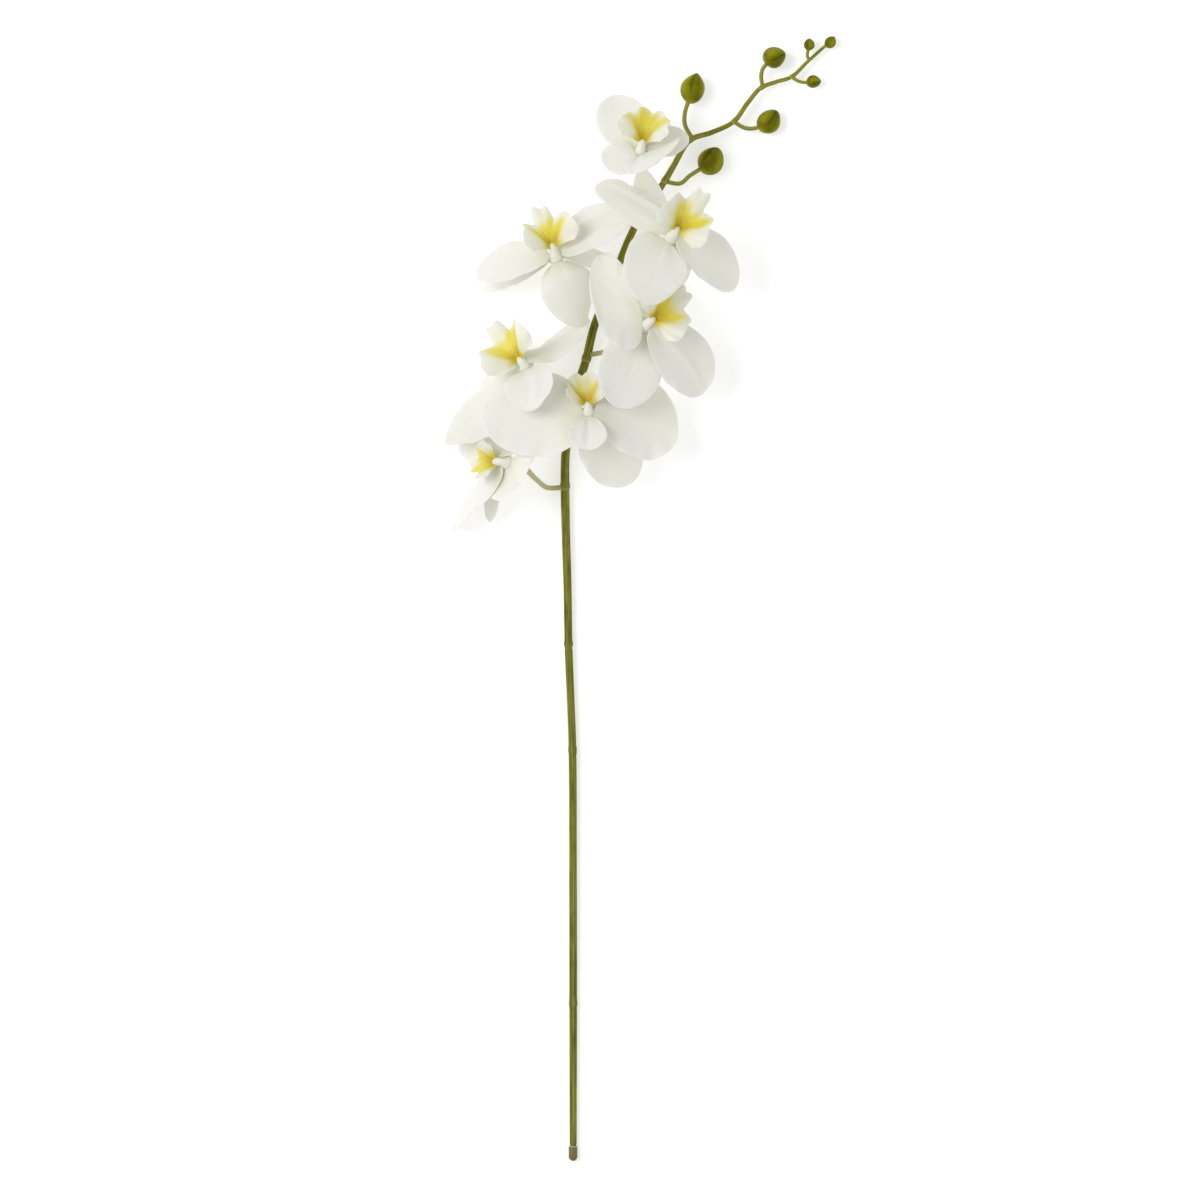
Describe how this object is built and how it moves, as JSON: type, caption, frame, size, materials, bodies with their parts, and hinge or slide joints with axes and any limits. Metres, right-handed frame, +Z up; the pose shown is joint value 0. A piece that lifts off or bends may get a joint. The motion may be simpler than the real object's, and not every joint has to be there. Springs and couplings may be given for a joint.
{
  "type": "moth orchid spray",
  "caption": "Cut spray of a white moth orchid lying on its back: a long ringed green stem with open yellow-lipped flowers on stalks and green buds towards its arched tip.",
  "frame": {"origin": "on the surface that the spray lies on, under the middle of its length and width", "axes": "+Y runs along the stem from its cut end to the last bud, +Z points up from the surface to the side that the flowers look to, +X points to the side that the tip arches to"},
  "size_m": [0.2091, 0.6007, 0.0743],
  "materials": {
    "stem": "satin",
    "stalk": "satin",
    "bud": "satin",
    "petal": "matte",
    "sepal": "matte",
    "lip": "satin",
    "cap": "matte"
  },
  "bodies": {
    "root": {"main_stem": "stem", "stem_end_cap": "cap", "bud_1": "bud", "bud_2": "bud", "bud_3": "bud", "bud_4": "bud", "bud_5": "bud", "bud_6": "bud", "bud_7": "bud", "flower_1_stalk": "stalk", "flower_1_lip": "lip", "flower_1_dorsal_sepal": "sepal", "flower_1_left_sepal": "sepal", "flower_1_right_sepal": "sepal", "flower_1_left_petal": "petal", "flower_1_right_petal": "petal", "flower_2_stalk": "stalk", "flower_2_lip": "lip", "flower_2_dorsal_sepal": "sepal", "flower_2_left_sepal": "sepal", "flower_2_right_sepal": "sepal", "flower_2_left_petal": "petal", "flower_2_right_petal": "petal", "flower_3_stalk": "stalk", "flower_3_lip": "lip", "flower_3_dorsal_sepal": "sepal", "flower_3_left_sepal": "sepal", "flower_3_right_sepal": "sepal", "flower_3_left_petal": "petal", "flower_3_right_petal": "petal", "flower_4_stalk": "stalk", "flower_4_lip": "lip", "flower_4_dorsal_sepal": "sepal", "flower_4_left_sepal": "sepal", "flower_4_right_sepal": "sepal", "flower_4_left_petal": "petal", "flower_4_right_petal": "petal", "flower_5_stalk": "stalk", "flower_5_lip": "lip", "flower_5_dorsal_sepal": "sepal", "flower_5_left_sepal": "sepal", "flower_5_right_sepal": "sepal", "flower_5_left_petal": "petal", "flower_5_right_petal": "petal", "flower_6_stalk": "stalk", "flower_6_lip": "lip", "flower_6_dorsal_sepal": "sepal", "flower_6_left_sepal": "sepal", "flower_6_right_sepal": "sepal", "flower_6_left_petal": "petal", "flower_6_right_petal": "petal", "flower_7_stalk": "stalk", "flower_7_lip": "lip", "flower_7_dorsal_sepal": "sepal", "flower_7_left_sepal": "sepal", "flower_7_right_sepal": "sepal", "flower_7_left_petal": "petal", "flower_7_right_petal": "petal"}
  },
  "joints": []
}
